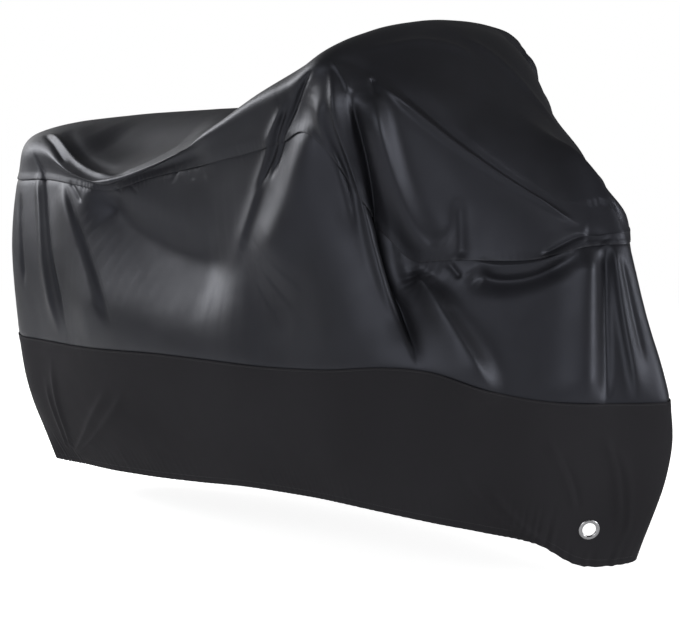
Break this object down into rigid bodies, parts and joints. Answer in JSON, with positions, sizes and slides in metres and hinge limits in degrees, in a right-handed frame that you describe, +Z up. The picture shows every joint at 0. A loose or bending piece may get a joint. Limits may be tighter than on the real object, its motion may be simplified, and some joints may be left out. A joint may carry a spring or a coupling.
{
  "type": "motorcycle cover",
  "caption": "Fitted weather cover for a motorcycle as it hangs over the machine: glossy upper panels, matt skirt, gathered hem and lock eyelets by the front wheel.",
  "frame": {"origin": "on the underside of the top panel at its crown over the windshield, the spot on which the cover hangs", "axes": "+X towards the machine's nose, +Y towards its left side, +Z up as the cover hangs"},
  "size_m": [2.0412, 0.9178, 1.2866],
  "materials": {
    "glossy_cloth": "coated polyester with a soft silky gloss, black with a blue-grey cast",
    "matt_cloth": "matt woven polyester, black",
    "eyelet_metal": "bright nickel-plated brass"
  },
  "bodies": {
    "root": {"top_panel": "glossy_cloth", "side_panel_right": "glossy_cloth", "side_panel_left": "glossy_cloth", "skirt_right": "matt_cloth", "skirt_left": "matt_cloth", "eyelet_strip_right": "matt_cloth", "eyelet_strip_left": "matt_cloth", "eyelet_right": "eyelet_metal", "eyelet_left": "eyelet_metal"}
  },
  "joints": []
}
